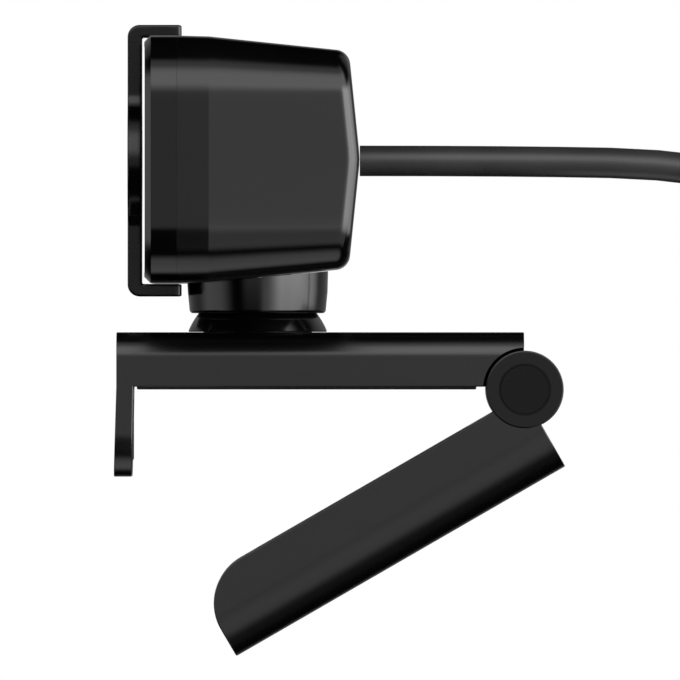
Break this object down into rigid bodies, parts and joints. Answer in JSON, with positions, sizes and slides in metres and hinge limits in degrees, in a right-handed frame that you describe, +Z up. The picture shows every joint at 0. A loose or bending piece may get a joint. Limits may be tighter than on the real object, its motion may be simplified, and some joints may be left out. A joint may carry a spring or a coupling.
{
  "type": "clip-on webcam",
  "caption": "Wide webcam head with sliding lens cover on a tilting ball neck, over a monitor clip with a hinged support arm and a coiled lead.",
  "frame": {"origin": "underside of the clip's rubber pad, on the swivel axis", "axes": "+Z up along the swivel axis, the lens looks along -Y, +X along the head's width"},
  "size_m": [0.103, 0.1543, 0.1581],
  "materials": {
    "black_plastic": "satin moulded, near black",
    "face_panel": "polished black",
    "rubber": "matte, fine ribs",
    "lens_glass": "coated, faint violet",
    "steel": "plated",
    "brass": "turned",
    "circuit_board": "solder mask",
    "chip": "moulded",
    "white_plastic": "moulded",
    "light_guide": "clear moulded",
    "cable_jacket": "satin vinyl"
  },
  "bodies": {
    "clip": {"bracket": "black_plastic", "base_plate": "black_plastic", "base_screws": "steel", "bracket_pad": "rubber", "lip_pad": "rubber"},
    "arm": {"arm_shell": "black_plastic", "arm_cover": "black_plastic", "arm_screws": "steel", "arm_pad": "rubber", "tripod_insert": "brass", "hinge_screw": "steel", "hinge_nut": "steel", "hinge_washers": "white_plastic", "hinge_caps": "black_plastic"},
    "swivel": {"ball_dome": "black_plastic", "dome_retainer": "steel"},
    "cover": {"privacy_cover": "black_plastic"},
    "head": {"rear_housing": "black_plastic", "front_bezel": "black_plastic", "front_panel": "face_panel", "lens_trim_ring": "black_plastic", "lens_barrel": "black_plastic", "front_lens": "lens_glass", "rear_lens": "lens_glass", "infrared_filter": "lens_glass", "lens_holder": "black_plastic", "image_sensor": "chip", "main_board": "circuit_board", "video_processor": "chip", "board_connector": "white_plastic", "microphones": "steel", "microphone_boots": "rubber", "status_led": "light_guide", "light_pipe": "light_guide", "bezel_screws": "steel", "board_screws": "steel", "cable_anchor": "rubber", "inner_lead": "cable_jacket", "neck_collar": "black_plastic", "neck_screws": "steel", "neck_stud": "steel", "friction_washer": "white_plastic", "disc_springs": "steel", "neck_nut": "steel", "cable": "cable_jacket", "cable_coil": "cable_jacket", "cable_tail": "cable_jacket", "cable_tie": "cable_jacket", "plug_strain_relief": "cable_jacket", "plug_grip": "black_plastic", "plug_shell": "steel", "plug_tongue": "white_plastic"}
  },
  "joints": [
    {"name": "arm_hinge", "type": "hinge", "parent": "clip", "child": "arm", "pos_m": [0, 0.0392, 0], "axis": [1, 0, 0], "range_deg": [-30, 150]},
    {"name": "head_swivel", "type": "hinge", "parent": "clip", "child": "swivel", "pos_m": [0, 0, 0.00445], "axis": [0, 0, 1], "range_deg": [-180, 180]},
    {"name": "head_tilt", "type": "hinge", "parent": "swivel", "child": "head", "pos_m": [0, 0, 0.00445], "axis": [1, 0, 0], "range_deg": [-14, 14]},
    {"name": "cover_slide", "type": "slide", "parent": "head", "child": "cover", "axis": [1, 0, 0], "range_m": [-0.036, 0.036]}
  ]
}
